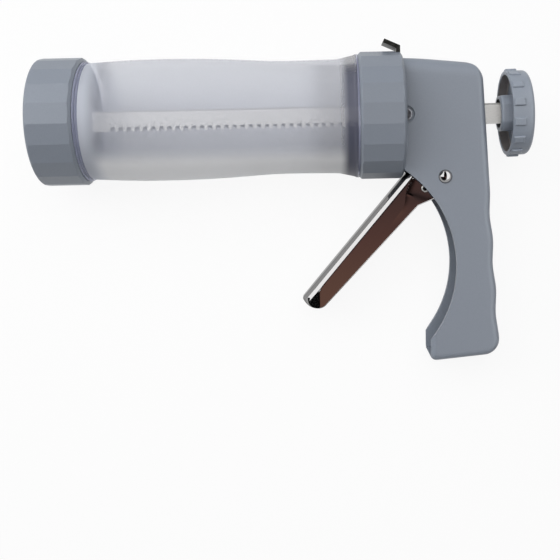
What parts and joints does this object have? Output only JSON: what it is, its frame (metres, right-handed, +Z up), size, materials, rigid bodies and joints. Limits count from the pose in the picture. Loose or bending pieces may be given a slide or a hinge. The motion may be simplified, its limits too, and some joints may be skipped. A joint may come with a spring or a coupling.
{
  "type": "churro maker",
  "caption": "Hand press: a frosted barrel with a screw-on outlet ring, driven by a toothed rod with a squeeze trigger, side handle, release tab and pull knob.",
  "frame": {"origin": "centre of the base of the whole tool's box, as it lies on its side on a table", "axes": "+X along the barrel from the outlet to the pull knob, +Y from the handle's foot to the release tab side, +Z up from the table"},
  "size_m": [0.241, 0.1601, 0.0632],
  "materials": {
    "ring_plastic": "fine-grained, satin",
    "body_plastic": "fine-grained, satin",
    "knob_plastic": "fine-grained, satin",
    "frosted_plastic": "frosted, translucent",
    "disc_plastic": "moulded, satin",
    "piston_plastic": "moulded, dark",
    "seal_rubber": "smooth",
    "bush_nylon": "smooth nylon",
    "chrome": "polished plate",
    "rod_steel": "drawn bar, brushed lengthways",
    "pin_steel": "turned, bright",
    "pawl_steel": "stamped and hardened",
    "spring_steel": "wire, bright"
  },
  "bodies": {
    "frame": {"collar": "ring_plastic", "collar_screws": "pin_steel", "housing": "body_plastic", "rod_bush": "bush_nylon", "pivot_pin": "chrome", "pivot_washers": "bush_nylon", "brake_spring": "spring_steel"},
    "barrel": {"barrel": "frosted_plastic"},
    "disc": {"forming_disc": "disc_plastic"},
    "cap": {"front_cap": "ring_plastic"},
    "plunger": {"rack_rod": "rod_steel", "piston_head": "piston_plastic", "piston_seal": "seal_rubber", "piston_pin": "pin_steel", "pull_knob": "knob_plastic", "knob_pin": "pin_steel"},
    "trigger": {"trigger": "chrome", "trigger_eyelet": "pin_steel", "pawl_pin": "pin_steel", "pawl_spring": "spring_steel", "trigger_spring": "spring_steel"},
    "pawl": {"drive_pawl": "pawl_steel"},
    "release": {"brake_plate": "pawl_steel"}
  },
  "joints": [
    {"name": "rod_slide", "type": "slide", "parent": "frame", "child": "plunger", "axis": [1, 0, 0], "range_m": [-0.0045, 0.1457]},
    {"name": "trigger_pivot", "type": "hinge", "parent": "frame", "child": "trigger", "pos_m": [0.0781, 0.01196, 0.02679], "axis": [0, -0.1572, 0.9876], "range_deg": [0, 38], "stiffness_Nm_per_rad": 0.8, "springref_deg": -20.05},
    {"name": "pawl_pivot", "type": "hinge", "parent": "trigger", "child": "pawl", "pos_m": [0.08366, 0.02887, 0.02948], "axis": [0, -0.1572, 0.9876], "range_deg": [-38, 0]},
    {"name": "release_tab", "type": "hinge", "parent": "frame", "child": "release", "pos_m": [0.0565, 0.07131, 0.03624], "axis": [0, -0.1572, 0.9876], "range_deg": [0, 5], "stiffness_Nm_per_rad": 2, "springref_deg": -5.73},
    {"name": "barrel_turn", "type": "hinge", "parent": "frame", "child": "barrel", "pos_m": [0.0366, 0.04218, 0.0316], "axis": [-1, 0, 0], "range_deg": [0, 45]},
    {"name": "disc_slide", "type": "slide", "parent": "barrel", "child": "disc", "axis": [-1, 0, 0], "range_m": [0, 0.012]},
    {"name": "cap_turn", "type": "hinge", "parent": "disc", "child": "cap", "pos_m": [-0.1205, 0.04218, 0.0316], "axis": [-1, 0, 0], "range_deg": [0, 720]}
  ],
  "couplings": [
    {"joint": "pawl_pivot", "follows": "trigger_pivot", "ratio": -1},
    {"joint": "disc_slide", "follows": "cap_turn", "m_per_rad": 0.00095492}
  ]
}
